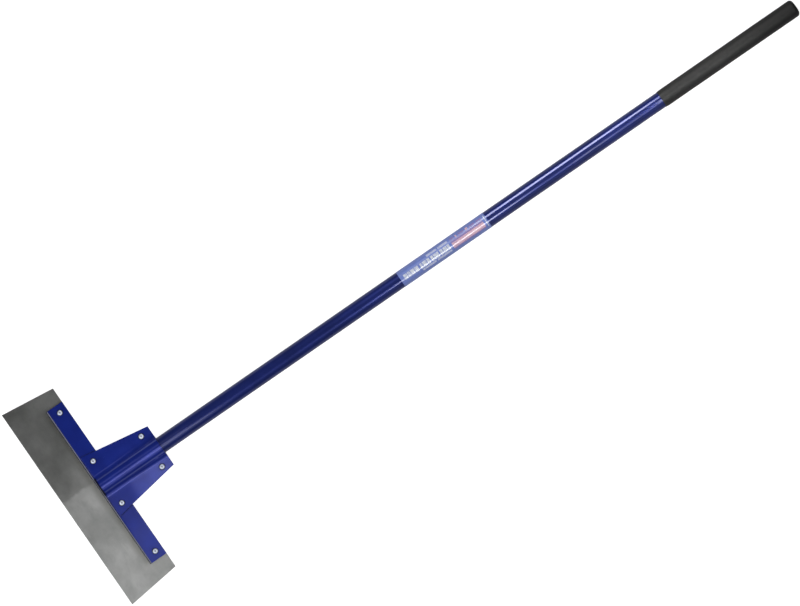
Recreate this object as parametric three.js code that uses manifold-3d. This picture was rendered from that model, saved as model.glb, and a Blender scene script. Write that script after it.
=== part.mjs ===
// Long-handled floor scraper: a wide steel blade clamped between two riveted sheet-steel shells that
// also hold a long steel tube, with a closed rubber grip pushed over the tube's free end.
//
// Units are millimetres. The scraper lies on its back: +X runs from the cutting edge to the grip,
// +Y across the blade and +Z up. The origin is under the middle of the whole tool, on the surface it
// lies on. Inside the tool group, x is measured from the cutting edge, and y and z from the tube's axis.

import * as THREE from 'three';
import { mergeVertices } from 'three/addons/utils/BufferGeometryUtils.js';
import Module from 'manifold-3d';

// ---------------------------------------------------------------- driving dimensions

const OVERALL_LENGTH = 1540;

const BLADE_WIDTH_FRONT = 400;
const BLADE_WIDTH_BACK = 376;
const BLADE_DEPTH = 100;
const BLADE_THICKNESS = 1.5;

const STRIP_WIDTH = 320;
const STRIP_THICKNESS = 3;
const STRIP_FRONT_X = 66;
const STRIP_NOSE_LENGTH = 5.5;
const STRIP_NOSE_EDGE = 0.6;
const STRIP_NOSE_STEPS = 6;

const SHELL_THICKNESS = 2;
const SHELL_FRONT_X = 71;
const SHELL_BACK_X = 198;
const SHELL_HALF_WIDTH_FRONT = 61.2;
const SHELL_HALF_WIDTH_BACK = 40.5;
const SHELL_BEND_RADIUS = 14.5;
const SHELL_LEAN_START_X = 102;
const SHELL_LEAN_STEPS = 3;
const CHANNEL_ARC_STEPS = 12;
const CHANNEL_BEND_STEPS = 6;

const TUBE_RADIUS = 15;
const TUBE_WALL = 1.5;
const TUBE_FRONT_X = 102;
const TUBE_SEGMENTS = 48;

const GRIP_LENGTH = 284;
const GRIP_RADIUS_FRONT = 16;
const GRIP_RADIUS_BACK = 16.2;
const GRIP_RIM_RADIUS = 15.45;
const GRIP_RIM_TAPER = 8;
const GRIP_END_WALL = 6.5;
const GRIP_CORNER_RADIUS = 6.5;
const GRIP_CORNER_STEPS = 6;
const GRIP_SEGMENTS = 40;

const LABEL_FRONT_X = 705;
const LABEL_BACK_X = 888;
const LABEL_THICKNESS = 0.2;
const LABEL_SEAM_ANGLE = THREE.MathUtils.degToRad(12);
const LABEL_STEPS = 60;

const RIVET_SHANK_RADIUS = 2.4;
const RIVET_HEAD_RADIUS = 4.75;
const RIVET_HEAD_HEIGHT = 1.7;
const RIVET_HEAD_RIM = 0.35;
const RIVET_BORE_RADIUS = 1.4;
const RIVET_BULB_RADIUS = 3.7;
const RIVET_BULB_LENGTH = 4;
const RIVET_DOME_STEPS = 5;
const RIVET_SEGMENTS = 20;
const RIVET_HOLE_RADIUS = 2.6;
// The blind bulb's outline from its end to the sheet: radius and distance as shares of its full size.
const RIVET_BULB_OUTLINE = [
  { radius: 0.72, below: 1 },
  { radius: 0.94, below: 0.75 },
  { radius: 1, below: 0.4 },
  { radius: 0.94, below: 0.1 },
  { radius: 0.84, below: 0 },
];

const MANDREL_RADIUS = 1.25;
const MANDREL_HEAD_RADIUS = 2.1;
const MANDREL_HEAD_LENGTH = 1.6;
const MANDREL_RECESS = 0.8;
const MANDREL_HEAD_STEPS = 4;
const MANDREL_SEGMENTS = 16;

// Gaps left between touching pieces: a paint film between flat sheets, a push fit on the tube.
const SHEET_GAP = 0.05;
const TUBE_GAP = 0.15;
const GRIP_GAP = 0.05;
const LABEL_GAP = 0.03;

// Rivet places, in x and half-spacing in y: ends of the strips, roots of the shells, tube end of the shells.
const OUTER_RIVETS = { x: 86, halfSpacing: 146 };
const INNER_RIVETS = { x: 86, halfSpacing: 44 };
const UPPER_RIVETS = { x: 179, halfSpacing: 32 };

// ---------------------------------------------------------------- heights above the tube's axis plane

const BLADE_FACE_Z = BLADE_THICKNESS / 2;
const STRIP_UNDER_Z = BLADE_FACE_Z + SHEET_GAP;
const STRIP_FACE_Z = STRIP_UNDER_Z + STRIP_THICKNESS;
const SHELL_UNDER_FRONT_Z = STRIP_FACE_Z + SHEET_GAP;
const SHELL_UNDER_BACK_Z = 0.15;
const CHANNEL_INNER_RADIUS = TUBE_RADIUS + TUBE_GAP;
const CHANNEL_OUTER_RADIUS = CHANNEL_INNER_RADIUS + SHELL_THICKNESS;
const GRIP_FRONT_X = OVERALL_LENGTH - GRIP_LENGTH;
const GRIP_INNER_END_X = OVERALL_LENGTH - GRIP_END_WALL;

// ---------------------------------------------------------------- materials

function paintedSteel() {
  return new THREE.MeshStandardMaterial({ color: 0x1a2570, roughness: 0.35, metalness: 0.1 });
}

function bladeSteel() {
  return new THREE.MeshStandardMaterial({ color: 0x8c8e8c, roughness: 0.4, metalness: 1 });
}

function rivetAluminium() {
  return new THREE.MeshStandardMaterial({ color: 0xd5d7d8, roughness: 0.35, metalness: 1 });
}

function mandrelSteel() {
  return new THREE.MeshStandardMaterial({ color: 0x77797b, roughness: 0.5, metalness: 1 });
}

function labelFilm() {
  return new THREE.MeshStandardMaterial({ color: 0x6b7cc0, roughness: 0.3, metalness: 0 });
}

function gripRubber() {
  return new THREE.MeshStandardMaterial({ color: 0x2b2b2c, roughness: 0.8, metalness: 0 });
}

// ---------------------------------------------------------------- solids

const wasm = await Module();
wasm.setup();

function toSolid(geometry) {
  const bare = geometry.clone();
  bare.deleteAttribute('normal');
  bare.deleteAttribute('uv');
  const merged = mergeVertices(bare, 1e-4);
  return new wasm.Manifold(new wasm.Mesh({
    numProp: 3,
    vertProperties: new Float32Array(merged.attributes.position.array),
    triVerts: new Uint32Array(merged.index.array),
  }));
}

function toGeometry(solid) {
  const mesh = solid.getMesh();
  const geometry = new THREE.BufferGeometry();
  geometry.setAttribute('position', new THREE.BufferAttribute(mesh.vertProperties, 3));
  geometry.setIndex(new THREE.BufferAttribute(mesh.triVerts, 1));
  geometry.computeVertexNormals();
  return geometry;
}

// Drills a rivet hole through a piece at each of the given places.
function drilled(geometry, places) {
  const drillLength = 4 * CHANNEL_OUTER_RADIUS;
  let solid = toSolid(geometry);
  for (const place of places) {
    const drill = new THREE.CylinderGeometry(
      RIVET_HOLE_RADIUS, RIVET_HOLE_RADIUS, drillLength, RIVET_SEGMENTS,
    );
    drill.rotateX(Math.PI / 2);
    drill.translate(place.x, place.y, 0);
    solid = solid.subtract(toSolid(drill));
  }
  return toGeometry(solid);
}

// Turns a closed (radius, height) outline about its height axis.
function turned(outline, segments) {
  const closed = [...outline, outline[0].clone()];
  return new THREE.LatheGeometry(closed, segments);
}

// Joins closed cross-sections, each a counter-clockwise loop seen from +X, into one capped body.
function lofted(sections) {
  const count = sections[0].length;
  const last = sections.length - 1;
  const index = [];
  for (let s = 0; s < last; s++) {
    for (let i = 0; i < count; i++) {
      const a = s * count + i;
      const b = s * count + (i + 1) % count;
      index.push(a, b, b + count, a, b + count, a + count);
    }
  }
  const capOf = (section) => {
    const flat = section.map((p) => new THREE.Vector2(p.y, p.z));
    return THREE.ShapeUtils.triangulateShape(flat, []);
  };
  for (const [a, b, c] of capOf(sections[0])) {
    index.push(c, b, a);
  }
  for (const [a, b, c] of capOf(sections[last])) {
    index.push(last * count + a, last * count + b, last * count + c);
  }
  const geometry = new THREE.BufferGeometry().setFromPoints(sections.flat());
  geometry.setIndex(index);
  geometry.computeVertexNormals();
  return geometry;
}

function pair(places) {
  return [
    { x: places.x, y: places.halfSpacing },
    { x: places.x, y: -places.halfSpacing },
  ];
}

// ---------------------------------------------------------------- blade and strips

function bladeGeometry() {
  const outline = new THREE.Shape([
    new THREE.Vector2(0, -BLADE_WIDTH_FRONT / 2),
    new THREE.Vector2(BLADE_DEPTH, -BLADE_WIDTH_BACK / 2),
    new THREE.Vector2(BLADE_DEPTH, BLADE_WIDTH_BACK / 2),
    new THREE.Vector2(0, BLADE_WIDTH_FRONT / 2),
  ]);
  const plate = new THREE.ExtrudeGeometry(outline, { depth: BLADE_THICKNESS, bevelEnabled: false });
  plate.translate(0, 0, -BLADE_THICKNESS / 2);
  return drilled(plate, [...pair(OUTER_RIVETS), ...pair(INNER_RIVETS)]);
}

// A flat bar whose front edge is rounded down to a thin nose on the blade.
function stripGeometry() {
  const profile = new THREE.Shape();
  profile.moveTo(STRIP_FRONT_X, STRIP_UNDER_Z);
  profile.lineTo(BLADE_DEPTH, STRIP_UNDER_Z);
  profile.lineTo(BLADE_DEPTH, STRIP_FACE_Z);
  for (let i = 0; i <= STRIP_NOSE_STEPS; i++) {
    const angle = (Math.PI / 2) * (1 + i / STRIP_NOSE_STEPS);
    const rise = STRIP_THICKNESS - STRIP_NOSE_EDGE;
    profile.lineTo(
      STRIP_FRONT_X + STRIP_NOSE_LENGTH * (1 + Math.cos(angle)),
      STRIP_UNDER_Z + STRIP_NOSE_EDGE + rise * Math.sin(angle),
    );
  }
  const bar = new THREE.ExtrudeGeometry(profile, { depth: STRIP_WIDTH, bevelEnabled: false });
  bar.rotateX(Math.PI / 2);
  bar.translate(0, STRIP_WIDTH / 2, 0);
  return drilled(bar, [...pair(OUTER_RIVETS), ...pair(INNER_RIVETS)]);
}

// ---------------------------------------------------------------- shells

// Underside of a shell's wings: flat over the strips, then leaning in until the two shells nearly meet.
function wingUnderZ(x) {
  const lean = (x - SHELL_LEAN_START_X) / (SHELL_BACK_X - SHELL_LEAN_START_X);
  return THREE.MathUtils.lerp(SHELL_UNDER_FRONT_Z, SHELL_UNDER_BACK_Z, Math.max(0, lean));
}

function wingHalfWidth(x) {
  const along = (x - SHELL_FRONT_X) / (SHELL_BACK_X - SHELL_FRONT_X);
  return THREE.MathUtils.lerp(SHELL_HALF_WIDTH_FRONT, SHELL_HALF_WIDTH_BACK, along);
}

// Cross-section of a shell at x: a half-round channel over the tube, a bend each side, and flat wings.
// It follows the middle of the sheet from the crown outwards and is thickened to both sides.
function shellSection(x) {
  const half = SHELL_THICKNESS / 2;
  const channelRadius = CHANNEL_INNER_RADIUS + half;
  const wingZ = wingUnderZ(x) + half;
  const bendZ = wingZ + SHELL_BEND_RADIUS;
  const bendY = Math.sqrt((channelRadius + SHELL_BEND_RADIUS) ** 2 - bendZ ** 2);
  const meet = Math.atan2(bendZ, bendY);

  const line = [];
  for (let i = 0; i <= CHANNEL_ARC_STEPS; i++) {
    const angle = THREE.MathUtils.lerp(Math.PI / 2, meet, i / CHANNEL_ARC_STEPS);
    const out = new THREE.Vector2(Math.cos(angle), Math.sin(angle));
    line.push({ at: out.clone().multiplyScalar(channelRadius), out });
  }
  for (let i = 1; i <= CHANNEL_BEND_STEPS; i++) {
    const angle = THREE.MathUtils.lerp(meet + Math.PI, 1.5 * Math.PI, i / CHANNEL_BEND_STEPS);
    const out = new THREE.Vector2(-Math.cos(angle), -Math.sin(angle));
    line.push({ at: new THREE.Vector2(bendY, bendZ).addScaledVector(out, -SHELL_BEND_RADIUS), out });
  }
  line.push({ at: new THREE.Vector2(wingHalfWidth(x), wingZ), out: new THREE.Vector2(0, 1) });

  const face = (side) => {
    const right = line.map(({ at, out }) => at.clone().addScaledVector(out, side * half));
    const left = right.slice(1).reverse().map((p) => new THREE.Vector2(-p.x, p.y));
    return [...left, ...right];
  };
  const loop = [...face(-1), ...face(1).reverse()];
  return loop.map((p) => new THREE.Vector3(x, p.x, p.y));
}

function shellGeometry() {
  const sections = [shellSection(SHELL_FRONT_X)];
  for (let i = 0; i <= SHELL_LEAN_STEPS; i++) {
    const x = THREE.MathUtils.lerp(SHELL_LEAN_START_X, SHELL_BACK_X, i / SHELL_LEAN_STEPS);
    sections.push(shellSection(x));
  }
  return drilled(lofted(sections), [...pair(INNER_RIVETS), ...pair(UPPER_RIVETS)]);
}

// ---------------------------------------------------------------- handle

function tubeGeometry() {
  const innerRadius = TUBE_RADIUS - TUBE_WALL;
  const backX = GRIP_INNER_END_X - 2 * GRIP_GAP;
  const tube = turned([
    new THREE.Vector2(innerRadius, TUBE_FRONT_X),
    new THREE.Vector2(TUBE_RADIUS, TUBE_FRONT_X),
    new THREE.Vector2(TUBE_RADIUS, backX),
    new THREE.Vector2(innerRadius, backX),
  ], TUBE_SEGMENTS);
  tube.rotateZ(-Math.PI / 2);
  return tube;
}

// A sleeve with a tapered rim, a slightly swelling body and a closed end with a round corner.
function gripGeometry() {
  const innerRadius = TUBE_RADIUS + GRIP_GAP;
  const outline = [
    new THREE.Vector2(0, GRIP_INNER_END_X),
    new THREE.Vector2(innerRadius, GRIP_INNER_END_X),
    new THREE.Vector2(innerRadius, GRIP_FRONT_X),
    new THREE.Vector2(GRIP_RIM_RADIUS, GRIP_FRONT_X),
    new THREE.Vector2(GRIP_RADIUS_FRONT, GRIP_FRONT_X + GRIP_RIM_TAPER),
  ];
  for (let i = 0; i <= GRIP_CORNER_STEPS; i++) {
    const angle = (Math.PI / 2) * (i / GRIP_CORNER_STEPS);
    outline.push(new THREE.Vector2(
      GRIP_RADIUS_BACK - GRIP_CORNER_RADIUS * (1 - Math.cos(angle)),
      OVERALL_LENGTH - GRIP_CORNER_RADIUS * (1 - Math.sin(angle)),
    ));
  }
  outline.push(new THREE.Vector2(0, OVERALL_LENGTH));
  const grip = new THREE.LatheGeometry(outline, GRIP_SEGMENTS);
  grip.rotateZ(-Math.PI / 2);
  return grip;
}

// A thin film wrapped round the tube, with a narrow open seam on the underside.
function labelGeometry() {
  const innerRadius = TUBE_RADIUS + LABEL_GAP;
  const outerRadius = innerRadius + LABEL_THICKNESS;
  const sweep = 2 * Math.PI - LABEL_SEAM_ANGLE;
  const start = -Math.PI + LABEL_SEAM_ANGLE / 2;
  const arc = (radius) => {
    const points = [];
    for (let i = 0; i <= LABEL_STEPS; i++) {
      const angle = start + sweep * (i / LABEL_STEPS);
      points.push(new THREE.Vector2(radius * Math.cos(angle), radius * Math.sin(angle)));
    }
    return points;
  };
  const outline = new THREE.Shape([...arc(outerRadius), ...arc(innerRadius).reverse()]);
  const film = new THREE.ExtrudeGeometry(outline, {
    depth: LABEL_BACK_X - LABEL_FRONT_X,
    bevelEnabled: false,
  });
  film.rotateY(Math.PI / 2);
  film.translate(LABEL_FRONT_X, 0, 0);
  return film;
}

// ---------------------------------------------------------------- blind rivets

// Set rivet body: dome head on the front, shank through the stack, swollen bulb behind, bored through.
function rivetGeometry(frontZ, backZ) {
  const domeRise = RIVET_HEAD_HEIGHT - RIVET_HEAD_RIM;
  const outline = [new THREE.Vector2(RIVET_BORE_RADIUS, backZ - RIVET_BULB_LENGTH)];
  for (const { radius, below } of RIVET_BULB_OUTLINE) {
    outline.push(new THREE.Vector2(radius * RIVET_BULB_RADIUS, backZ - below * RIVET_BULB_LENGTH));
  }
  outline.push(new THREE.Vector2(RIVET_SHANK_RADIUS, backZ));
  outline.push(new THREE.Vector2(RIVET_SHANK_RADIUS, frontZ));
  outline.push(new THREE.Vector2(RIVET_HEAD_RADIUS, frontZ));
  for (let i = 0; i <= RIVET_DOME_STEPS; i++) {
    const radius = THREE.MathUtils.lerp(RIVET_HEAD_RADIUS, RIVET_BORE_RADIUS, i / RIVET_DOME_STEPS);
    const fall = (radius / RIVET_HEAD_RADIUS) ** 2;
    outline.push(new THREE.Vector2(radius, frontZ + RIVET_HEAD_RIM + domeRise * (1 - fall)));
  }
  const rivet = turned(outline, RIVET_SEGMENTS);
  rivet.rotateX(Math.PI / 2);
  return rivet;
}

// The broken mandrel left in a rivet: its stem ends inside the dome, its round head under the bulb.
function mandrelGeometry(frontZ, backZ) {
  const headTopZ = backZ - RIVET_BULB_LENGTH - 2 * SHEET_GAP;
  const stemEndZ = frontZ + RIVET_HEAD_HEIGHT - MANDREL_RECESS;
  const outline = [new THREE.Vector2(0, headTopZ - MANDREL_HEAD_LENGTH)];
  for (let i = 1; i <= MANDREL_HEAD_STEPS; i++) {
    const angle = (Math.PI / 2) * (i / MANDREL_HEAD_STEPS);
    outline.push(new THREE.Vector2(
      MANDREL_HEAD_RADIUS * Math.sin(angle),
      headTopZ - MANDREL_HEAD_LENGTH * Math.cos(angle),
    ));
  }
  outline.push(new THREE.Vector2(MANDREL_RADIUS, headTopZ));
  outline.push(new THREE.Vector2(MANDREL_RADIUS, stemEndZ));
  outline.push(new THREE.Vector2(0, stemEndZ));
  const mandrel = new THREE.LatheGeometry(outline, MANDREL_SEGMENTS);
  mandrel.rotateX(Math.PI / 2);
  return mandrel;
}

// ---------------------------------------------------------------- assembly

const scraper = new THREE.Group();
const tool = new THREE.Group();
tool.position.set(-OVERALL_LENGTH / 2, 0, CHANNEL_OUTER_RADIUS);
scraper.add(tool);

function addPiece(name, geometry, material) {
  const mesh = new THREE.Mesh(geometry, material);
  mesh.name = name;
  tool.add(mesh);
  return mesh;
}

// The back piece is the front one turned half a turn about the tube's axis.
function addFrontAndBack(name, geometry, material) {
  addPiece(`front_${name}`, geometry, material());
  addPiece(`back_${name}`, geometry.clone(), material()).rotation.x = Math.PI;
}

function addRivets(name, places, faceZ) {
  const sides = ['left', 'right'];
  pair(places).forEach((place, i) => {
    const body = addPiece(`${name}_rivet_${sides[i]}`, rivetGeometry(faceZ, -faceZ), rivetAluminium());
    const pin = addPiece(`${name}_mandrel_${sides[i]}`, mandrelGeometry(faceZ, -faceZ), mandrelSteel());
    body.position.set(place.x, place.y, 0);
    pin.position.set(place.x, place.y, 0);
  });
}

// Height of a shell's wing face under the highest edge of a rivet head at x.
function wingFaceZ(x) {
  return wingUnderZ(x - RIVET_HEAD_RADIUS) + SHELL_THICKNESS;
}

addPiece('blade', bladeGeometry(), bladeSteel());
addFrontAndBack('strip', stripGeometry(), paintedSteel);
addFrontAndBack('shell', shellGeometry(), paintedSteel);
addPiece('tube', tubeGeometry(), paintedSteel());
addPiece('grip', gripGeometry(), gripRubber());
addPiece('label', labelGeometry(), labelFilm());
addRivets('outer', OUTER_RIVETS, STRIP_FACE_Z + SHEET_GAP);
addRivets('inner', INNER_RIVETS, wingFaceZ(INNER_RIVETS.x) + SHEET_GAP);
addRivets('upper', UPPER_RIVETS, wingFaceZ(UPPER_RIVETS.x) + SHEET_GAP);

export default scraper;
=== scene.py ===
import math

import bmesh
import bpy
from mathutils import Matrix, Vector

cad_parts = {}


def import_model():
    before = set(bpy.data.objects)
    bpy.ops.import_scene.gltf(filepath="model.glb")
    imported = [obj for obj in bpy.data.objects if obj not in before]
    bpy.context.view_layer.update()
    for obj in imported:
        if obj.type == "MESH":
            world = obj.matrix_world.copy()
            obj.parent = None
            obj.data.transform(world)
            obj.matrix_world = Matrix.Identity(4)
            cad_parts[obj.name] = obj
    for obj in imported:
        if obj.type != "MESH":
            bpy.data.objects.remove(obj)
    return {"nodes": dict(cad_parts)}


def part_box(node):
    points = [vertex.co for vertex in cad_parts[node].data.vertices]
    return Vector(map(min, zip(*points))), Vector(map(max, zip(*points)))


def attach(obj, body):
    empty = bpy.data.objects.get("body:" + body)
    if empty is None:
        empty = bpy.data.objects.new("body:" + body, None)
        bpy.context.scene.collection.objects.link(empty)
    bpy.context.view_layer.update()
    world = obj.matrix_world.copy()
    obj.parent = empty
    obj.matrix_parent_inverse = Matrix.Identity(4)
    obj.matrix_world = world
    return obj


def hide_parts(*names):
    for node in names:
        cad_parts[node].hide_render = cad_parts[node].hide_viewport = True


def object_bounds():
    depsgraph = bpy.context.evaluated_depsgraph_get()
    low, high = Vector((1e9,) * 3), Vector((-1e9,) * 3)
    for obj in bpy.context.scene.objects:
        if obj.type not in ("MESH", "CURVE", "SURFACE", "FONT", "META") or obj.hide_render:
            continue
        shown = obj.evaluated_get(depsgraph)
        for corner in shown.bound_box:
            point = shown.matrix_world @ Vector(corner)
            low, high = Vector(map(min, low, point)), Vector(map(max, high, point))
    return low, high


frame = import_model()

# Long-handled floor scraper: the fine meshes, materials, floor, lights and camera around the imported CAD
# model. Lengths are in metres in the row frame: +X from the cutting edge to the grip, +Z up. Places and
# sizes come from the CAD nodes' boxes, and the constants below are the fine details that Blender adds.

MM = 0.001
CAD_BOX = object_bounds()


def middle(node):
    low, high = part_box(node)
    return (low + high) / 2


def size(node):
    low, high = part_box(node)
    return high - low


# ---------------------------------------------------------------- sizes taken from the frame

AXIS_Z = middle("tube").z
TUBE_RADIUS = size("tube").z / 2
EDGE_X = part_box("blade")[0].x
BLADE_BACK_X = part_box("blade")[1].x
STRIP_FRONT_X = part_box("front_strip")[0].x
SHELL_FRONT_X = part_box("front_shell")[0].x
SHELL_BACK_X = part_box("front_shell")[1].x
GRIP_BACK_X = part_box("grip")[1].x
CHANNEL_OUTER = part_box("front_shell")[1].z - AXIS_Z
STRIP_UNDER_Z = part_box("front_strip")[0].z - AXIS_Z
STRIP_FACE_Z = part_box("front_strip")[1].z - AXIS_Z


def half_width_at(node, x, tolerance=0.5 * MM):
    """Half the width in y of a CAD node's vertices at x."""
    vertices = frame["nodes"][node].data.vertices
    return max(abs(v.co.y) for v in vertices if abs(v.co.x - x) < tolerance)


RIVET_ROWS = ("outer", "inner", "upper")
BLADE_HALF_FRONT = half_width_at("blade", EDGE_X)
BLADE_HALF_BACK = half_width_at("blade", BLADE_BACK_X)
SHELL_HALF_FRONT = half_width_at("front_shell", SHELL_FRONT_X)
SHELL_HALF_BACK = half_width_at("front_shell", SHELL_BACK_X)
STRIP_HALF = size("front_strip").y / 2
RIVET_HEAD = size("outer_rivet_left").x / 2
RIVET_SPOTS = [
    (middle(f"{row}_rivet_left").x, abs(middle(f"{row}_rivet_left").y)) for row in RIVET_ROWS
]

# ---------------------------------------------------------------- fine details

# Blade: cells along x and y, and its roll waviness and bow.
BLADE_GRID = (34, 120)
BLADE_ROUNDING = 0.25 * MM
ROLL_HEIGHT = 0.10 * MM
ROLL_PITCH = 0.145
ROLL_SKEW = 8.0
BOW_HEIGHT = 0.22 * MM
BOW_PITCH = 0.33
BOW_SHIFT = 0.05

# Shells: sheet, bend from channel to wing, and the lean of the wings behind the blade, which eases in over a
# share of its length.
SHEET = 2.0 * MM
SHEET_GAP = 0.05 * MM
SHELL_BEND_RADIUS = 14.5 * MM
SHELL_LEAN_START = 2.0 * MM
SHELL_LEAN_EASE = 0.3
SHELL_UNDER_BACK_Z = 0.15 * MM
SHELL_ROUNDING = 0.45 * MM
SHELL_STEPS = 48
CROWN_STEPS = 26
BEND_STEPS = 14
WING_STEPS = 8

# Strips: depth of the rounded nose and the height of its front edge.
STRIP_NOSE = 5.5 * MM
STRIP_NOSE_EDGE = 0.6 * MM
STRIP_ROUNDING = 0.35 * MM
STRIP_STEPS = 24

# Tube and grip.
TUBE_WALL = 1.5 * MM
TUBE_ROUNDING = 0.3 * MM
TUBE_STEPS = 40
TUBE_SEGMENTS = 144
GRIP_RIM = 0.19 * MM
GRIP_TAPER = 8.0 * MM
GRIP_CORNER = 6.5 * MM
GRIP_END_WALL = 6.5 * MM
GRIP_SWELL = 0.2 * MM

# Blind rivets and their mandrels. Shank, bore, bulb and pin are radii.
HEAD_HEIGHT = 1.7 * MM
HEAD_RIM = 0.35 * MM
ROLLED_RIM = 0.42 * MM
DOME_POWER = 2.2
DOME_STEPS = 12
CROWN_EDGE = 0.25 * MM
SHANK = 2.4 * MM
RIVET_BORE = 1.4 * MM
BORE_CHAMFER = 0.4 * MM
BULB_LENGTH = 4.0 * MM
BULB_RADIUS = 3.7 * MM
BULB_CORNER = 1.9 * MM
PIN_RADIUS = 1.25 * MM

SCENE = bpy.context.scene


# ---------------------------------------------------------------- mesh helpers

def finish_piece(name, bm, materials, nodes, bevel=0.0, bevel_segments=3, sharp_angle=35):
    """Turns a bmesh into a piece that rides on the tool and stands for its CAD nodes."""
    bmesh.ops.recalc_face_normals(bm, faces=bm.faces)
    for face in bm.faces:
        face.smooth = True
    for edge in bm.edges:
        if len(edge.link_faces) == 2:
            edge.smooth = edge.calc_face_angle(0) < math.radians(sharp_angle)
    mesh = bpy.data.meshes.new(name)
    bm.to_mesh(mesh)
    bm.free()
    piece = bpy.data.objects.new(name, mesh)
    SCENE.collection.objects.link(piece)
    for material in materials:
        mesh.materials.append(material)
    if bevel:
        rounding = piece.modifiers.new("edge_rounding", "BEVEL")
        rounding.width = bevel
        rounding.segments = bevel_segments
        rounding.limit_method = "ANGLE"
        rounding.angle_limit = math.radians(sharp_angle)
        rounding.harden_normals = True
    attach(piece, "root")
    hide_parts(*nodes)


def grid_faces(bm, rows, wrap_rows=False, wrap_columns=False):
    """Quads between rows of vertices. Rows of one vertex close into a fan."""
    count = len(rows)
    pairs = count if wrap_rows else count - 1
    for r in range(pairs):
        a, b = rows[r], rows[(r + 1) % count]
        columns = max(len(a), len(b))
        steps = columns if wrap_columns else columns - 1
        for c in range(steps):
            d = (c + 1) % columns
            corners = [a[c % len(a)], a[d % len(a)], b[d % len(b)], b[c % len(b)]]
            face = list(dict.fromkeys(corners))
            if len(face) > 2:
                bm.faces.new(face)


def turned(outline, segments, place, axis="X", closed=True):
    """A body of revolution from (radius, distance along the axis) points. Radius 0 is one shared vertex."""
    bm = bmesh.new()
    rows = []
    for radius, along in outline:
        ring = []
        for i in range(segments if radius > 1e-7 else 1):
            angle = 2 * math.pi * i / segments
            u, v = radius * math.cos(angle), radius * math.sin(angle)
            offset = Vector((along, u, v)) if axis == "X" else Vector((u, v, along))
            ring.append(bm.verts.new(place + offset))
        rows.append(ring)
    grid_faces(bm, rows, wrap_rows=closed, wrap_columns=True)
    return bm


def arc(centre, radius, start, end, steps):
    """Points of a circular or elliptical arc, angles in degrees."""
    rx, ry = radius if isinstance(radius, tuple) else (radius, radius)
    points = []
    for i in range(steps + 1):
        angle = math.radians(start + (end - start) * i / steps)
        points.append((centre[0] + rx * math.cos(angle), centre[1] + ry * math.sin(angle)))
    return points


# ---------------------------------------------------------------- material helpers

class Nodes:
    """Short calls for building one node material."""

    def __init__(self, name):
        self.material = bpy.data.materials.new(name)
        self.material.use_nodes = True
        self.tree = self.material.node_tree
        self.shader = self.tree.nodes["Principled BSDF"]
        self.place = self.add("ShaderNodeTexCoord").outputs["Object"]

    def add(self, kind, **values):
        node = self.tree.nodes.new(kind)
        for key, value in values.items():
            setattr(node, key, value)
        return node

    def link(self, source, target):
        self.tree.links.new(source, target)

    def put(self, socket, value):
        if isinstance(value, bpy.types.NodeSocket):
            self.link(value, socket)
        else:
            socket.default_value = value

    def stretched(self, scale):
        mapping = self.add("ShaderNodeMapping")
        self.link(self.place, mapping.inputs["Vector"])
        mapping.inputs["Scale"].default_value = scale
        return mapping.outputs["Vector"]

    def noise(self, scale, detail=3.0, rough=0.5, vector=None, distortion=0.0):
        node = self.add("ShaderNodeTexNoise")
        self.link(vector or self.place, node.inputs["Vector"])
        node.inputs["Scale"].default_value = scale
        node.inputs["Detail"].default_value = detail
        node.inputs["Roughness"].default_value = rough
        node.inputs["Distortion"].default_value = distortion
        return node.outputs["Fac"]

    def remap(self, value, low, high, to_low=0.0, to_high=1.0, smooth=False):
        node = self.add("ShaderNodeMapRange")
        if smooth:
            node.interpolation_type = "SMOOTHSTEP"
        self.put(node.inputs["Value"], value)
        limits = {"From Min": low, "From Max": high, "To Min": to_low, "To Max": to_high}
        for name, number in limits.items():
            node.inputs[name].default_value = number
        return node.outputs["Result"]

    def math(self, operation, a, b=0.0):
        node = self.add("ShaderNodeMath", operation=operation)
        self.put(node.inputs[0], a)
        self.put(node.inputs[1], b)
        return node.outputs["Value"]

    def mix(self, factor, a, b):
        node = self.add("ShaderNodeMix", data_type="RGBA")
        self.put(node.inputs[0], factor)
        self.put(node.inputs[6], a)
        self.put(node.inputs[7], b)
        return node.outputs[2]

    def axis(self, name):
        node = self.add("ShaderNodeSeparateXYZ")
        self.link(self.place, node.inputs["Vector"])
        return node.outputs[name]

    def bump(self, height, distance, strength):
        node = self.add("ShaderNodeBump")
        self.link(height, node.inputs["Height"])
        node.inputs["Distance"].default_value = distance
        node.inputs["Strength"].default_value = strength
        return node.outputs["Normal"]

    def edges(self, radius, sharpness):
        """1 on sharp edges and 0 on flats, from the difference between rounded and true normals."""
        rounded = self.add("ShaderNodeBevel", samples=4)
        rounded.inputs["Radius"].default_value = radius
        true = self.add("ShaderNodeNewGeometry").outputs["Normal"]
        dot = self.add("ShaderNodeVectorMath", operation="DOT_PRODUCT")
        self.link(rounded.outputs["Normal"], dot.inputs[0])
        self.link(true, dot.inputs[1])
        return self.remap(dot.outputs["Value"], 1.0, 1.0 - sharpness)

    def corners(self, distance):
        """1 in the open, falling to 0 deep in a corner between pieces."""
        node = self.add("ShaderNodeAmbientOcclusion", samples=8)
        node.inputs["Distance"].default_value = distance
        return node.outputs["AO"]

    def from_rivet(self):
        """Distance from the nearest rivet's axis: the rivets stand in pairs, mirrored across the tube."""
        flat = self.add("ShaderNodeCombineXYZ")
        self.link(self.axis("X"), flat.inputs["X"])
        self.link(self.math("ABSOLUTE", self.axis("Y")), flat.inputs["Y"])
        nearest = 1.0
        for x, y in RIVET_SPOTS:
            gap = self.add("ShaderNodeVectorMath", operation="DISTANCE")
            self.link(flat.outputs["Vector"], gap.inputs[0])
            gap.inputs[1].default_value = (x, y, 0)
            nearest = self.math("MINIMUM", gap.outputs["Value"], nearest)
        return nearest

    def set(self, **values):
        for key, value in values.items():
            self.put(self.shader.inputs[key.replace("_", " ")], value)


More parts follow.
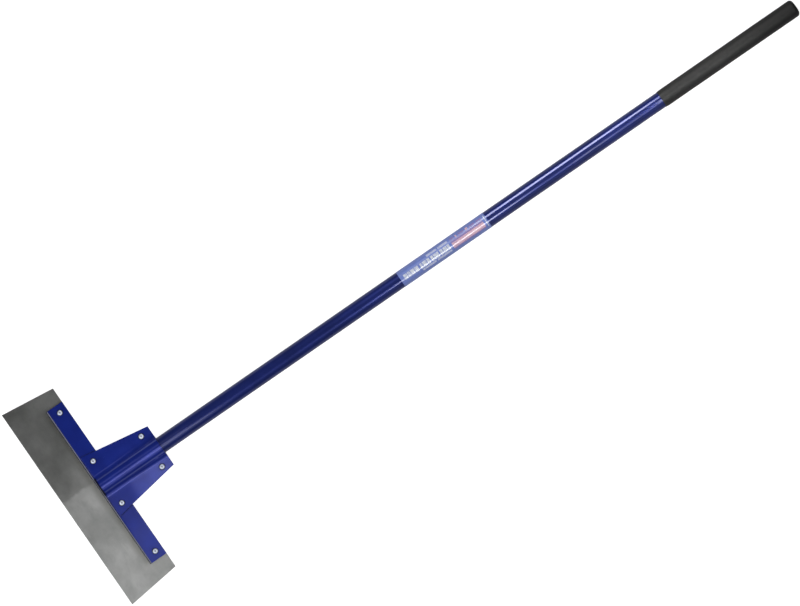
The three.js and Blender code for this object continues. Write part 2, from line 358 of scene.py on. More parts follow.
def rgb(r, g, b):
    """Linear colour from 0 to 255 display values."""
    def linear(c):
        c = c / 255
        return c / 12.92 if c <= 0.04045 else ((c + 0.055) / 1.055) ** 2.4
    return (linear(r), linear(g), linear(b), 1.0)


# ---------------------------------------------------------------- materials

# Noise scales are in cells per metre, and colours are display values. The sizes below are for marks that have
# a place on the tool: painted highlight lines on the shoulders of the channel, bare nose of the strips,
# painted shadow at the channel's mouth and round rivets, painted shade in corners, the blade's painted shade
# on one half and painted shadow band along the strips, and painted shade at the grip's closed end.
SHOULDER_Y = 12.1 * MM
SHOULDER_HALF = 1.8 * MM
SHOULDER_CORE = 0.2 * MM
NOSE_BARE = 2.8 * MM
NOSE_FADE = 4.2 * MM
MOUTH_HALF = 19.0 * MM
MOUTH_CORE = 16.0 * MM
RING_WIDTH = 1.8 * MM
RING_CORE = 0.3 * MM
RING_RAGGED = 0.7 * MM
CORNER_SHADE_REACH = 6.0 * MM
SHADE_EDGE_FROM_Y = 15.0 * MM
SHADE_EDGE_TO_Y = 9.0 * MM
SHADE_EDGE_RAGGED = 3.0 * MM
STRIP_SHADOW_REACH = 13.0 * MM
STRIP_SHADOW_RAGGED = 3.5 * MM
END_SHADE_START = 0.17
END_SHADE_FULL = 0.02


def painted_shoulder_highlights(m, along, across):
    """1 along the two shoulders of the shells' channel, where the paint gets a lighter painted highlight
    line, 0 elsewhere.
    """
    shoulder = m.math("ABSOLUTE", m.math("SUBTRACT", across, SHOULDER_Y))
    on_line = m.remap(shoulder, SHOULDER_HALF, SHOULDER_CORE)
    on_shell = m.remap(along, SHELL_BACK_X, SHELL_BACK_X - MM)
    return m.math("MULTIPLY", on_line, on_shell)


def painted_mouth_shadow(m, along, across):
    """1 round the channel's front end, on the strip and the first millimetre of the shell, where the paint is
    darkened as painted shadow.
    """
    beside = m.remap(across, MOUTH_HALF, MOUTH_CORE)
    ahead = m.remap(along, SHELL_FRONT_X - 3.4 * MM, SHELL_FRONT_X - 2.2 * MM)
    behind = m.remap(along, SHELL_FRONT_X + 2.0 * MM, SHELL_FRONT_X + 1.0 * MM)
    return m.math("MULTIPLY", m.math("MULTIPLY", beside, ahead), behind)


def painted_rivet_ring_shadow(m):
    """1 in a ragged ring round each rivet's head, where the paint is darkened as painted shadow."""
    ragged = m.remap(m.noise(260.0, 2.0), 0.3, 0.7, -RING_RAGGED, RING_RAGGED)
    edge = m.math("ADD", m.from_rivet(), ragged)
    return m.remap(edge, RIVET_HEAD + RING_WIDTH, RIVET_HEAD + RING_CORE)


def blue_paint(name, deep, bright, rough_low, corner_shade_depth):
    """Blue metallic powder coat under a clear gloss: orange peel, scuffs, worn edges and nose, painted
    highlight lines along the channel's shoulders, painted shade in corners, and painted shadow round rivets
    and at the channel's mouth."""
    m = Nodes(name)
    along = m.axis("X")
    across = m.math("ABSOLUTE", m.axis("Y"))

    tone = m.mix(m.remap(m.noise(22.0, 2.0), 0.3, 0.7), deep, bright)
    scuffs = m.noise(1.0, 4.0, 0.65, m.stretched((14.0, 260.0, 260.0)), 0.4)
    scuff_mask = m.remap(scuffs, 0.66, 0.74)
    tone = m.mix(m.math("MULTIPLY", scuff_mask, 0.25), tone, rgb(62, 72, 150))
    worn = m.edges(0.7 * MM, 0.35)
    tone = m.mix(m.math("MULTIPLY", worn, 0.30), tone, rgb(70, 80, 155))
    # Painted highlight: lighter lines along the channel's shoulders.
    shoulder_highlight = painted_shoulder_highlights(m, along, across)
    tone = m.mix(m.math("MULTIPLY", shoulder_highlight, 0.75), tone, rgb(96, 110, 196))
    nose = m.remap(along, STRIP_FRONT_X + NOSE_FADE, STRIP_FRONT_X + NOSE_BARE, 0.0, 0.95)
    tone = m.mix(nose, tone, rgb(38, 40, 54))

    # Painted shadow at the channel's mouth and round the rivets, and painted shade in corners from ambient
    # occlusion, darken the paint; the same mask also makes it rougher and thins its coat.
    painted_shadow = m.math("MAXIMUM", painted_mouth_shadow(m, along, across), painted_rivet_ring_shadow(m))
    painted_shade = m.remap(m.corners(CORNER_SHADE_REACH), 0.60, 0.92, corner_shade_depth, 0.0)
    painted_shade = m.math("MAXIMUM", painted_shade, m.math("MULTIPLY", painted_shadow, 0.9))
    tone = m.mix(painted_shade, tone, rgb(8, 9, 16))

    rough = m.remap(m.noise(60.0, 3.0), 0.3, 0.7, rough_low, rough_low + 0.06)
    rough = m.math("ADD", rough, m.math("MULTIPLY", scuff_mask, 0.15))
    rough = m.math("ADD", rough, m.math("MULTIPLY", painted_shade, 0.3))
    peel = m.bump(m.noise(700.0, 2.0), 0.003 * MM, 0.6)
    m.set(Base_Color=tone, Roughness=rough, Normal=peel, Coat_Weight=m.remap(painted_shade, 0.1, 0.8, 1.0, 0.1))
    m.shader.inputs["Metallic"].default_value = 0.4
    m.shader.inputs["IOR"].default_value = 1.5
    m.shader.inputs["Specular IOR Level"].default_value = 0.2
    m.shader.inputs["Coat Roughness"].default_value = 0.12
    m.link(peel, m.shader.inputs["Coat Normal"])
    return m.material


def blade_steel():
    """Cold-rolled sheet: fine grain across the blade, cloudy oil film, small scratches, painted shade on the
    half towards +Y, which is also less rough, and a painted shadow band in front of the strips."""
    m = Nodes("blade_steel")
    grain = m.noise(1.0, 5.0, 0.6, m.stretched((1500.0, 18.0, 300.0)))
    cloud = m.noise(13.0, 5.0, 0.6)
    smear = m.noise(1.0, 4.0, 0.6, m.stretched((26.0, 13.0, 20.0)), 0.8)
    scratch = m.remap(m.noise(1.0, 3.0, 0.7, m.stretched((900.0, 40.0, 300.0)), 1.2), 0.70, 0.76)
    tone = m.mix(m.remap(cloud, 0.3, 0.7), rgb(150, 152, 150), rgb(205, 206, 205))
    tone = m.mix(m.remap(smear, 0.45, 0.75, 0.0, 0.45), tone, rgb(142, 145, 145))
    tone = m.mix(m.remap(grain, 0.35, 0.65, 0.0, 0.12), tone, rgb(200, 201, 199))
    tone = m.mix(m.math("MULTIPLY", scratch, 0.25), tone, rgb(216, 216, 216))

    # Painted shade: the half towards +Y is darker, and the other half is rougher.
    ragged = m.math("ADD", m.axis("Y"), m.remap(smear, 0.3, 0.7, -SHADE_EDGE_RAGGED, SHADE_EDGE_RAGGED))
    rough_unshaded_half = m.remap(ragged, SHADE_EDGE_FROM_Y, SHADE_EDGE_TO_Y, smooth=True)
    tone = m.mix(m.remap(rough_unshaded_half, 0.0, 1.0, 0.28, 0.0), tone, rgb(104, 104, 102))
    # Painted shadow: a darker band on the blade in front of the strips.
    along = m.math("ADD", m.axis("X"), m.remap(cloud, 0.3, 0.7, -STRIP_SHADOW_RAGGED, STRIP_SHADOW_RAGGED))
    painted_shadow = m.remap(along, STRIP_FRONT_X - STRIP_SHADOW_REACH, STRIP_FRONT_X, 0.0, 0.42, smooth=True)
    across = m.math("ABSOLUTE", m.axis("Y"))
    beside = m.remap(across, STRIP_HALF + 8.0 * MM, STRIP_HALF - 12.0 * MM, smooth=True)
    tone = m.mix(m.math("MULTIPLY", painted_shadow, beside), tone, rgb(92, 88, 78))

    rough = m.remap(cloud, 0.25, 0.75, 0.30, 0.37)
    rough = m.math("ADD", rough, m.math("MULTIPLY", rough_unshaded_half, 0.07))
    rough = m.math("ADD", rough, m.remap(smear, 0.4, 0.7, -0.02, 0.03))
    normal = m.bump(grain, 0.004 * MM, 0.6)
    tangent = m.add("ShaderNodeTangent", direction_type="UV_MAP")
    m.set(Base_Color=tone, Metallic=1.0, Roughness=rough, Normal=normal, Anisotropic=0.55)
    m.link(tangent.outputs["Tangent"], m.shader.inputs["Tangent"])
    return m.material


def rivet_aluminium():
    """Lightly matt aluminium, its head darkened at the rim as painted shade."""
    m = Nodes("rivet_aluminium")
    dull = m.noise(350.0, 3.0)
    tone = m.mix(m.remap(dull, 0.35, 0.65), rgb(220, 230, 250), rgb(236, 242, 255))
    # Painted shade: a dark rim round the head.
    rim = m.remap(m.from_rivet(), RIVET_HEAD - 1.1 * MM, RIVET_HEAD - 0.2 * MM, 0.0, 0.9)
    tone = m.mix(rim, tone, rgb(30, 32, 42))
    rough = m.remap(m.noise(900.0, 2.0), 0.3, 0.7, 0.48, 0.58)
    m.set(Base_Color=tone, Metallic=1.0, Roughness=rough, Normal=m.bump(dull, 0.01 * MM, 0.5))
    return m.material


def mandrel_steel():
    """Dull steel with a torn surface."""
    m = Nodes("mandrel_steel")
    torn = m.noise(2500.0, 4.0, 0.7)
    tone = m.mix(torn, rgb(128, 130, 134), rgb(176, 178, 181))
    m.set(Base_Color=tone, Metallic=1.0, Roughness=m.remap(torn, 0.3, 0.7, 0.4, 0.65))
    m.set(Normal=m.bump(torn, 0.06 * MM, 0.8))
    return m.material


def grip_rubber():
    """Matt black vinyl rubber: fine leathery grain, faint bloom and mottle, and painted shade darkening it
    towards the closed end.
    """
    m = Nodes("grip_rubber")
    cells = m.add("ShaderNodeTexVoronoi", feature="F1")
    m.link(m.place, cells.inputs["Vector"])
    cells.inputs["Scale"].default_value = 900.0
    grain = m.noise(1400.0, 3.0, 0.6)
    bloom = m.noise(22.0, 4.0, 0.6)
    mottle = m.noise(150.0, 2.0)
    tone = m.mix(m.remap(bloom, 0.3, 0.7), rgb(28, 28, 28), rgb(40, 40, 40))
    tone = m.mix(m.remap(mottle, 0.35, 0.65, 0.0, 0.35), tone, rgb(52, 51, 48))
    tone = m.mix(m.remap(grain, 0.5, 0.8, 0.0, 0.3), tone, rgb(66, 66, 66))
    # Painted shade: darker towards the grip's closed end.
    start, full = GRIP_BACK_X - END_SHADE_START, GRIP_BACK_X - END_SHADE_FULL
    end_shade = m.remap(m.axis("X"), start, full, 0.0, 0.8, smooth=True)
    tone = m.mix(end_shade, tone, rgb(12, 12, 12))
    height = m.math("ADD", m.math("MULTIPLY", cells.outputs["Distance"], 0.7), grain)
    m.set(Base_Color=tone, Roughness=m.remap(bloom, 0.3, 0.7, 0.46, 0.56))
    m.set(Normal=m.bump(height, 0.05 * MM, 0.8))
    return m.material


def label_film(name, light, dark, broken=0.0):
    """Glossy printed film: a little uneven in tone, the ink broken up, with faint wrinkles along the tube."""
    m = Nodes(name)
    blotch = m.noise(70.0, 3.0)
    dots = m.noise(1500.0, 2.0)
    tone = m.mix(m.remap(blotch, 0.3, 0.7), light, dark)
    tone = m.mix(m.remap(dots, 0.55, 0.8, 0.0, 0.2), tone, rgb(235, 238, 246))
    if broken:
        gaps = m.noise(1.0, 2.0, 0.6, m.stretched((520.0, 230.0, 230.0)), 0.6)
        tone = m.mix(m.remap(gaps, 0.48, 0.58, 0.0, broken), tone, FILM_LIGHT)
    wrinkle = m.noise(1.0, 2.0, 0.5, m.stretched((25.0, 260.0, 260.0)))
    rough = m.remap(blotch, 0.3, 0.7, 0.24, 0.30)
    m.set(Base_Color=tone, Roughness=rough, Normal=m.bump(wrinkle, 0.03 * MM, 0.5))
    m.shader.inputs["Coat Weight"].default_value = 0.7
    m.shader.inputs["Coat Roughness"].default_value = 0.12
    return m.material


# The tube's paint is a darker copy of the head's blue: painted shade for the tube's round sides, which face
# away from the light overhead.
HEAD_PAINT = blue_paint("blue_paint_head", rgb(27, 45, 147), rgb(33, 56, 172), 0.18, 0.8)
TUBE_PAINT = blue_paint("blue_paint_tube", rgb(28, 42, 112), rgb(33, 48, 128), 0.27, 0.45)
STEEL = blade_steel()
ALUMINIUM = rivet_aluminium()
PIN_STEEL = mandrel_steel()
RUBBER = grip_rubber()
FILM_LIGHT = rgb(126, 147, 222)
FILM = label_film("label_film", FILM_LIGHT, rgb(116, 135, 212))
PRINT_WHITE = label_film("label_white", rgb(238, 243, 250), rgb(226, 233, 246), 0.45)
PRINT_PALE = label_film("label_pale", rgb(204, 212, 246), rgb(214, 221, 248), 0.35)
PRINT_MAUVE = label_film("label_mauve", rgb(164, 142, 198), rgb(146, 130, 190), 0.40)
PRINT_PINK = label_film("label_pink", rgb(244, 204, 214), rgb(230, 184, 202), 0.25)

# ---------------------------------------------------------------- blade

def blade():
    """Thin sheet with a very slight roll waviness, as a grid in x and y with rounded outer edges."""
    low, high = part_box("blade")
    thickness = high.z - low.z
    columns, rows_y = BLADE_GRID
    bm = bmesh.new()

    def wave(x, y):
        free = max(0.0, (STRIP_FRONT_X - x) / (STRIP_FRONT_X - EDGE_X))
        roll = ROLL_HEIGHT * math.sin(2 * math.pi * (y / ROLL_PITCH + ROLL_SKEW * x))
        bow = BOW_HEIGHT * math.sin(2 * math.pi * (y + BOW_SHIFT) / BOW_PITCH)
        return free * (roll + bow)

    layers = []
    for side in (1, -1):
        rows = []
        for i in range(columns + 1):
            x = low.x + (high.x - low.x) * i / columns
            half = BLADE_HALF_FRONT + (BLADE_HALF_BACK - BLADE_HALF_FRONT) * i / columns
            row = []
            for j in range(rows_y + 1):
                y = -half + 2 * half * j / rows_y
                z = AXIS_Z + side * thickness / 2 + wave(x, y)
                row.append(bm.verts.new((x, y, z)))
            rows.append(row)
        grid_faces(bm, rows)
        layers.append(rows)
    top, bottom = layers

    def rim(rows):
        return rows[0] + [r[-1] for r in rows[1:]] + rows[-1][-2::-1] + [r[0] for r in rows[-2:0:-1]]

    grid_faces(bm, [rim(top), rim(bottom)], wrap_columns=True)
    uv = bm.loops.layers.uv.new("grain")
    for face in bm.faces:
        for loop in face.loops:
            loop[uv].uv = (loop.vert.co.y, loop.vert.co.x)
    finish_piece(
        "blade_sheet", bm, [STEEL], ["blade"], bevel=BLADE_ROUNDING, bevel_segments=2,
    )


# ---------------------------------------------------------------- strips

def strip(name, node, side):
    """Flat bar across the blade, its front edge rounded down to a thin nose."""
    low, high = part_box(node)
    rise = STRIP_FACE_Z - STRIP_UNDER_Z - STRIP_NOSE_EDGE
    profile = [(low.x, STRIP_UNDER_Z), (high.x, STRIP_UNDER_Z), (high.x, STRIP_FACE_Z)]
    nose = (low.x + STRIP_NOSE, STRIP_UNDER_Z + STRIP_NOSE_EDGE)
    profile += arc(nose, (STRIP_NOSE, rise), 90, 180, 14)
    bm = bmesh.new()
    rows = []
    for i in range(STRIP_STEPS + 1):
        y = low.y + (high.y - low.y) * i / STRIP_STEPS
        rows.append([bm.verts.new((x, y, AXIS_Z + side * z)) for x, z in profile])
    grid_faces(bm, rows, wrap_columns=True)
    bm.faces.new(rows[0])
    bm.faces.new(rows[-1])
    finish_piece(name, bm, [HEAD_PAINT], [node], bevel=STRIP_ROUNDING)


# ---------------------------------------------------------------- shells

def wing_under(x):
    """Height of a wing's underside over the tube's axis plane: flat over the strips, then leaning in."""
    start = BLADE_BACK_X + SHELL_LEAN_START
    along = max(0.0, (x - start) / (SHELL_BACK_X - start))
    steepest = 1 / (1 - SHELL_LEAN_EASE / 2)
    if along < SHELL_LEAN_EASE:
        lean = steepest * along ** 2 / (2 * SHELL_LEAN_EASE)
    else:
        lean = steepest * (along - SHELL_LEAN_EASE / 2)
    front = STRIP_FACE_Z + SHEET_GAP
    return front + (SHELL_UNDER_BACK_Z - front) * lean


def shell_half_width(x):
    along = (x - SHELL_FRONT_X) / (SHELL_BACK_X - SHELL_FRONT_X)
    return SHELL_HALF_FRONT + (SHELL_HALF_BACK - SHELL_HALF_FRONT) * along


def shell_line(x):
    """Middle line of a shell's section: (y, z, outward y, outward z) from the crown to the wing's edge."""
    radius = CHANNEL_OUTER - SHEET / 2
    wing = wing_under(x) + SHEET / 2
    bend_z = wing + SHELL_BEND_RADIUS
    bend_y = math.sqrt((radius + SHELL_BEND_RADIUS) ** 2 - bend_z ** 2)
    meet = math.degrees(math.atan2(bend_z, bend_y))
    line = []
    for y, z in arc((0, 0), radius, 90, meet, CROWN_STEPS):
        line.append((y, z, y / radius, z / radius))
    for y, z in arc((bend_y, bend_z), SHELL_BEND_RADIUS, meet + 180, 270, BEND_STEPS)[1:]:
        line.append((y, z, (bend_y - y) / SHELL_BEND_RADIUS, (bend_z - z) / SHELL_BEND_RADIUS))
    edge = shell_half_width(x)
    for i in range(1, WING_STEPS + 1):
        line.append((bend_y + (edge - bend_y) * i / WING_STEPS, wing, 0.0, 1.0))
    return line


def shell(name, node, side):
    """Bent sheet with a half-round channel between two wings that taper and lean in towards the tube."""
    bm = bmesh.new()
    faces = {1: [], -1: []}
    for i in range(SHELL_STEPS + 1):
        x = SHELL_FRONT_X + (SHELL_BACK_X - SHELL_FRONT_X) * i / SHELL_STEPS
        line = shell_line(x)
        for face in (1, -1):
            right = [(y + face * SHEET / 2 * oy, z + face * SHEET / 2 * oz) for y, z, oy, oz in line]
            left = [(-y, z) for y, z in reversed(right[1:])]
            row = [bm.verts.new((x, y, AXIS_Z + side * z)) for y, z in left + right]
            faces[face].append(row)
    outer, inner = faces[1], faces[-1]
    grid_faces(bm, outer)
    grid_faces(bm, inner)
    grid_faces(bm, [outer[0], inner[0]])
    grid_faces(bm, [outer[-1], inner[-1]])
    grid_faces(bm, [[r[0] for r in outer], [r[0] for r in inner]])
    grid_faces(bm, [[r[-1] for r in outer], [r[-1] for r in inner]])
    finish_piece(name, bm, [HEAD_PAINT], [node], bevel=SHELL_ROUNDING)


# ---------------------------------------------------------------- handle

def tube():
    """Open tube with lightly rounded outer rims."""
    low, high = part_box("tube")
    outer, inner = TUBE_RADIUS, TUBE_RADIUS - TUBE_WALL
    rim = outer - TUBE_ROUNDING
    outline = [(inner, low.x), (rim, low.x), (outer, low.x + TUBE_ROUNDING)]
    for i in range(1, TUBE_STEPS):
        outline.append((outer, low.x + (high.x - low.x) * i / TUBE_STEPS))
    outline += [(outer, high.x - TUBE_ROUNDING), (rim, high.x), (inner, high.x)]
    bm = turned(outline, TUBE_SEGMENTS, Vector((0, 0, AXIS_Z)))
    finish_piece("handle_tube", bm, [TUBE_PAINT], ["tube"], sharp_angle=50)


def grip():
    """Closed sleeve: thin rolled rim, short taper, slightly swelling body, round end."""
    low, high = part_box("grip")
    bore = TUBE_RADIUS + SHEET_GAP
    back = size("grip").z / 2
    front = back - GRIP_SWELL
    rim_radius = bore + 2 * GRIP_RIM
    rim_x = low.x + GRIP_RIM
    body_x = rim_x + GRIP_TAPER
    corner_x = high.x - GRIP_CORNER
    bore_end = high.x - GRIP_END_WALL
    outline = [(0.0, bore_end), (bore, bore_end), (bore, rim_x)]
    outline += arc((bore + GRIP_RIM, rim_x), GRIP_RIM, 180, 300, 6)[1:]
    taper_steps, body_steps = 12, 30
    for i in range(taper_steps + 1):
        t = i / taper_steps
        ease = math.sin(t * math.pi / 2)
        outline.append((rim_radius + (front - rim_radius) * ease, rim_x + GRIP_TAPER * t))
    for i in range(1, body_steps):
        t = i / body_steps
        outline.append((front + (back - front) * t, body_x + (corner_x - body_x) * t))
    outline += arc((back - GRIP_CORNER, corner_x), GRIP_CORNER, 0, 90, 14)
    outline += [(0.5 * (back - GRIP_CORNER), high.x), (0.0, high.x)]
    bm = turned(outline, TUBE_SEGMENTS, Vector((0, 0, AXIS_Z)), closed=False)
    finish_piece("grip_sleeve", bm, [RUBBER], ["grip"], sharp_angle=60)


# ---------------------------------------------------------------- label

# Plain print in rows: (first and last angle in degrees, ink, blocks from start to end as shares of the
# label's length). Angles are measured round the tube from straight up, positive towards -Y. The seam's half
# gap and the steps round the tube are in degrees too.
WHITE, PALE, MAUVE, PINK = 1, 2, 3, 4
PRINT_ROWS = [
    (-15, 22, WHITE, [
        (0.040, 0.078), (0.084, 0.112), (0.118, 0.160), (0.165, 0.205), (0.226, 0.250), (0.256, 0.298),
        (0.304, 0.335), (0.350, 0.376), (0.382, 0.440), (0.455, 0.486), (0.492, 0.534), (0.540, 0.565),
    ]),
    (-42, -26, PALE, [(0.325, 0.440), (0.455, 0.565)]),
    (27, 42, PALE, [(0.230, 0.385), (0.400, 0.565)]),
    (-42, -26, MAUVE, [(0.592, 0.640), (0.690, 0.755), (0.815, 0.880), (0.895, 0.955)]),
    (-42, -26, PINK, [(0.655, 0.672), (0.772, 0.800)]),
    (-20, -5, MAUVE, [(0.592, 0.955)]),
    (-5, 32, PINK, [(0.592, 0.955)]),
    (32, 42, MAUVE, [(0.592, 0.955)]),
    (-44, 44, WHITE, [(0.978, 0.986)]),
]
LABEL_GAP = 0.03 * MM
LABEL_SEAM = 6.0
LABEL_STEPS = 20
LABEL_TURN_STEP = 4


def ink_at(share, turn):
    """Material slot of the print at a share of the label's length and an angle, 0 for bare film."""
    for first, last, ink, blocks in PRINT_ROWS:
        if first < turn < last and any(start < share < end for start, end in blocks):
            return ink
    return 0


def label():
    """Film round the tube with a seam at the back, cut along the edges of its print."""
    low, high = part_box("label")
    inner = TUBE_RADIUS + LABEL_GAP
    outer = size("label").y / 2
    cuts = {i / LABEL_STEPS for i in range(LABEL_STEPS + 1)}
    turns = {float(turn) for turn in range(-172, 173, LABEL_TURN_STEP)}
    turns |= {LABEL_SEAM - 180.0, 180.0 - LABEL_SEAM}
    for first, last, _, blocks in PRINT_ROWS:
        cuts |= {share for block in blocks for share in block}
        turns |= {float(first), float(last)}
    cuts, turns = sorted(cuts), sorted(turns)
    bm = bmesh.new()
    layers = []
    for radius in (outer, inner):
        rows = []
        for share in cuts:
            row = []
            for turn in turns:
                angle = math.radians(turn)
                spot = (-radius * math.sin(angle), AXIS_Z + radius * math.cos(angle))
                row.append(bm.verts.new((low.x + (high.x - low.x) * share, *spot)))
            rows.append(row)
        layers.append(rows)
    top, bottom = layers
    grid_faces(bm, bottom)
    grid_faces(bm, [top[0], bottom[0]])
    grid_faces(bm, [top[-1], bottom[-1]])
    grid_faces(bm, [[r[0] for r in top], [r[0] for r in bottom]])
    grid_faces(bm, [[r[-1] for r in top], [r[-1] for r in bottom]])
    for i in range(len(cuts) - 1):
        for j in range(len(turns) - 1):
            face = bm.faces.new((top[i][j], top[i + 1][j], top[i + 1][j + 1], top[i][j + 1]))
            face.material_index = ink_at((cuts[i] + cuts[i + 1]) / 2, (turns[j] + turns[j + 1]) / 2)
    inks = [FILM, PRINT_WHITE, PRINT_PALE, PRINT_MAUVE, PRINT_PINK]
    finish_piece("label_wrap", bm, inks, ["label"], sharp_angle=40)


# ---------------------------------------------------------------- rivets

def rivet_place(node):
    """Point on the tube's axis plane where a rivet or mandrel stands."""
    return Vector((middle(node).x, middle(node).y, AXIS_Z))


def rivet(name, node):
    """Set blind rivet: domed head with a rolled rim, shank and swollen blind end, bored through."""
    low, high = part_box(node)
    top, blind_end = high.z - AXIS_Z, low.z - AXIS_Z
    blind = blind_end + BULB_LENGTH
    cut_off = (HEAD_HEIGHT - HEAD_RIM) * (RIVET_BORE / RIVET_HEAD) ** 2
    seat = top - (HEAD_HEIGHT - cut_off)
    outline = [(RIVET_BORE, blind_end + BORE_CHAMFER)]
    swell = (BULB_RADIUS - BULB_CORNER, blind - BULB_LENGTH / 2)
    outline += arc(swell, (BULB_CORNER, BULB_LENGTH / 2), -90, 90, 16)
    outline += [(SHANK, blind), (SHANK, seat)]
    outline += arc((RIVET_HEAD - ROLLED_RIM, seat + ROLLED_RIM), ROLLED_RIM, -90, 20, 6)
    dome_foot = seat + 1.3 * ROLLED_RIM
    crown = RIVET_BORE + CROWN_EDGE
    flattest = 1 - (crown / RIVET_HEAD) ** DOME_POWER
    for i in range(1, DOME_STEPS + 1):
        radius = RIVET_HEAD - (RIVET_HEAD - crown) * i / DOME_STEPS
        rise = (1 - (radius / RIVET_HEAD) ** DOME_POWER) / flattest
        outline.append((radius, dome_foot + (top - dome_foot) * rise))
    outline.append((RIVET_BORE, top - 0.2 * MM))
    bm = turned(outline, 48, rivet_place(node), axis="Z")
    finish_piece(name, bm, [ALUMINIUM], [node], sharp_angle=50)


def mandrel(name, node):
    """Mandrel left in a blind rivet: round head under the blind end, pin with a broken upper end."""
    low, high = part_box(node)
    start, end = low.z - AXIS_Z, high.z - AXIS_Z
    blind_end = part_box(node.replace("mandrel", "rivet"))[0].z - AXIS_Z
    ball = size(node).x / 2
    ball_top = blind_end - 0.1 * MM
    outline = [(0.0, start)] + arc((0.0, ball_top), (ball, ball_top - start), -80, 0, 8)
    outline += [(PIN_RADIUS, ball_top + 0.02 * MM), (PIN_RADIUS, end - 0.15 * MM)]
    outline += [(0.75 * PIN_RADIUS, end), (0.3 * PIN_RADIUS, end - 0.1 * MM), (0.0, end - 0.05 * MM)]
    bm = turned(outline, 32, rivet_place(node), axis="Z", closed=False)
    finish_piece(name, bm, [PIN_STEEL], [node], sharp_angle=45)


blade()
strip("strip_front", "front_strip", 1)
strip("strip_back", "back_strip", -1)
shell("shell_front", "front_shell", 1)
shell("shell_back", "back_shell", -1)
tube()
grip()
label()
for row in RIVET_ROWS:
    for hand in ("left", "right"):
        rivet(f"{row}_rivet_{hand}_body", f"{row}_rivet_{hand}")
        mandrel(f"{row}_mandrel_{hand}_pin", f"{row}_mandrel_{hand}")

# ---------------------------------------------------------------- floor, light and camera

FLOOR_HALF = 30.0
FLOOR_STEPS = 12
ROOM_GLOW = 0.05
FLOOR_SEEN = 0.85
FLOOR_GLOW = 0.4
CAMERA_DISTANCE = 8.0
CAMERA_AIM = Vector((-0.0889, -0.0329, AXIS_Z))
VIEW_WIDTH = 1.3913
TUBE_RISE = math.radians(34.63)

# Lines of light along the tube: (name, degrees from straight up towards -Y, start and end in x, width,
# radiance, distance from the tube's axis). A light hides what is behind it, so line_middle_narrow takes the
# middle out of line_middle_wide.
LIGHT_LINES = [
    ("key_grip_side", -44, 0.14, 0.59, 0.60, 12.0, 1.6),
    ("line_shell", 19, -1.10, -0.69, 0.25, 1.5, 1.6),
    ("line_shell_upper", -24, -1.00, -0.62, 0.40, 0.55, 1.6),
    ("line_head", 26, -0.69, -0.54, 0.40, 1.7, 1.6),
    ("line_middle_wide", 26, -0.09, 0.27, 0.50, 1.0, 1.6),
    ("line_middle_narrow", 26, -0.06, 0.22, 0.40, 11.0, 1.5),
    ("line_grip", 26, 0.37, 0.46, 0.50, 3.8, 1.6),
    ("line_grip_faint", 26, 0.46, 0.70, 0.50, 1.5, 1.6),
    ("line_rim", 8, 0.52, 0.62, 0.25, 10.0, 0.5),
]
# Panels: (name, centre, target, width, length along X, radiance).
LIGHT_PANELS = [
    ("panel_tube", (0.36, 0, 2.0), (0.36, 0, 0), 1.4, 0.75, 0.15),
    ("panel_low", (0.36, -1.6, 0.8), (0.36, 0, 0), 1.0, 0.9, 0.30),
    ("panel_wing", (-0.635, -0.065, 0.6), (-0.635, -0.065, 0), 0.11, 0.06, 1.05),
    ("panel_wing_back", (-0.575, -0.065, 0.6), (-0.575, -0.065, 0), 0.11, 0.06, 1.6),
    ("panel_wing_front", (-0.72, -0.065, 0.6), (-0.72, -0.065, 0), 0.11, 0.10, 0.35),
    ("panel_head", (-0.92, -0.61, 0.9), (-0.92, -0.61, 0), 1.0, 0.84, 0.55),
    ("front", (-2.3, -0.15, 1.6), (-0.69, 0, 0), 1.6, 1.4, 2.4),
]


def camera_choice(tree, hidden, seen, output):
    """Feeds output with one shader for camera rays and another for light and reflections."""
    path = tree.nodes.new("ShaderNodeLightPath")
    choose = tree.nodes.new("ShaderNodeMixShader")
    tree.links.new(path.outputs["Is Camera Ray"], choose.inputs["Fac"])
    tree.links.new(hidden, choose.inputs[1])
    tree.links.new(seen, choose.inputs[2])
    tree.links.new(choose.outputs["Shader"], output)


def floor():
    """Large pale seamless floor under the tool, over-exposed to the camera and dimmer to the tool."""
    m = Nodes("floor_pale")
    tint = m.noise(1.3, 2.0)
    m.set(Base_Color=m.mix(tint, rgb(236, 236, 236), rgb(242, 242, 242)), Roughness=0.9)
    m.shader.inputs["Emission Color"].default_value = (1, 1, 1, 1)
    m.shader.inputs["Emission Strength"].default_value = FLOOR_SEEN
    m.shader.inputs["Specular IOR Level"].default_value = 0.1
    glow = m.add("ShaderNodeEmission")
    glow.inputs["Strength"].default_value = FLOOR_GLOW
    output = m.tree.nodes["Material Output"].inputs["Surface"]
    camera_choice(m.tree, glow.outputs["Emission"], m.shader.outputs["BSDF"], output)
    bm = bmesh.new()
    places = [-FLOOR_HALF + 2 * FLOOR_HALF * i / FLOOR_STEPS for i in range(FLOOR_STEPS + 1)]
    rows = [[bm.verts.new((x, y, CAD_BOX[0].z)) for y in places] for x in places]
    grid_faces(bm, rows)
    mesh = bpy.data.meshes.new("floor")
    bm.to_mesh(mesh)
    bm.free()
    ground = bpy.data.objects.new("floor", mesh)
    mesh.materials.append(m.material)
    SCENE.collection.objects.link(ground)


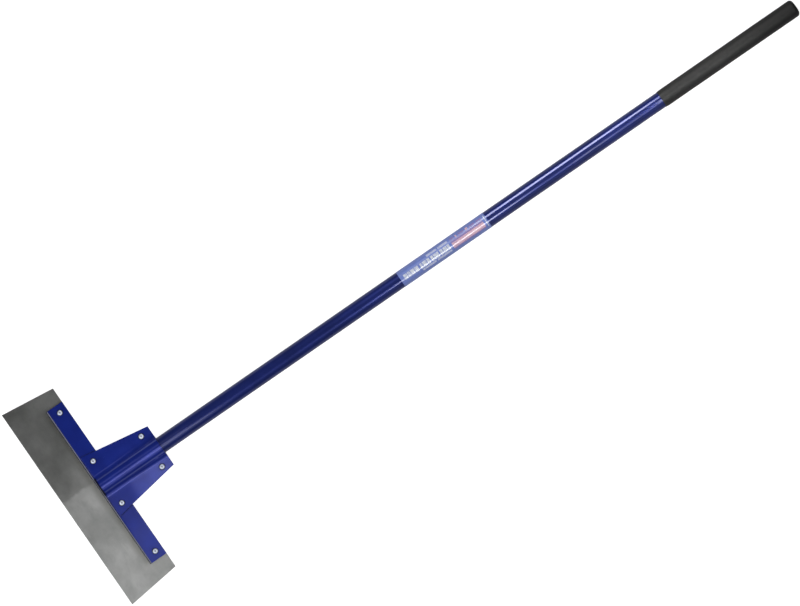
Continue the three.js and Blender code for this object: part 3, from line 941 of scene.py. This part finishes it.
def world():
    """Dark room round the light floor, with a white backdrop for the camera."""
    sky = bpy.data.worlds.new("studio")
    SCENE.world = sky
    sky.use_nodes = True
    tree = sky.node_tree
    room = tree.nodes["Background"]
    room.inputs["Color"].default_value = (1, 1, 1, 1)
    room.inputs["Strength"].default_value = ROOM_GLOW
    backdrop = tree.nodes.new("ShaderNodeBackground")
    output = tree.nodes["World Output"].inputs["Surface"]
    camera_choice(tree, room.outputs["Background"], backdrop.outputs["Background"], output)


def softbox(name, centre, target, width, length, radiance):
    """Rectangle light facing target, with its length along X where it can be."""
    data = bpy.data.lights.new(name, "AREA")
    data.shape = "RECTANGLE"
    data.size = length
    data.size_y = width
    data.energy = radiance * math.pi * width * length
    lamp = bpy.data.objects.new(name, data)
    SCENE.collection.objects.link(lamp)
    aim = (Vector(centre) - Vector(target)).normalized()
    along = Vector((1, 0, 0)) if abs(aim.x) < 0.9 else Vector((0, 1, 0))
    side = aim.cross(along).normalized()
    along = side.cross(aim).normalized()
    turn = Matrix((along, side, aim)).transposed().to_4x4()
    lamp.matrix_world = Matrix.Translation(Vector(centre)) @ turn
    lamp.visible_camera = False


def lights():
    """Lines of soft light along the tube, panels for its edges and the head's lower half, a front light."""
    for name, degrees, start, end, width, radiance, reach in LIGHT_LINES:
        angle = math.radians(degrees)
        target = ((start + end) / 2, 0, AXIS_Z)
        centre = (target[0], -reach * math.sin(angle), AXIS_Z + reach * math.cos(angle))
        softbox(name, centre, target, width, end - start, radiance)
    for name, centre, target, width, length, radiance in LIGHT_PANELS:
        softbox(name, centre, target, width, length, radiance)


def camera():
    """Square-on view from straight above with a long lens, the tube rising to the right."""
    data = bpy.data.cameras.new("camera")
    data.sensor_width = 36.0
    data.lens = data.sensor_width * CAMERA_DISTANCE / VIEW_WIDTH
    data.clip_end = 100.0
    view = bpy.data.objects.new("camera", data)
    view.location = CAMERA_AIM + Vector((0, 0, CAMERA_DISTANCE))
    view.rotation_euler = (0, 0, -TUBE_RISE)
    SCENE.collection.objects.link(view)
    SCENE.camera = view


floor()
world()
lights()
camera()
SCENE.view_settings.view_transform = "Standard"
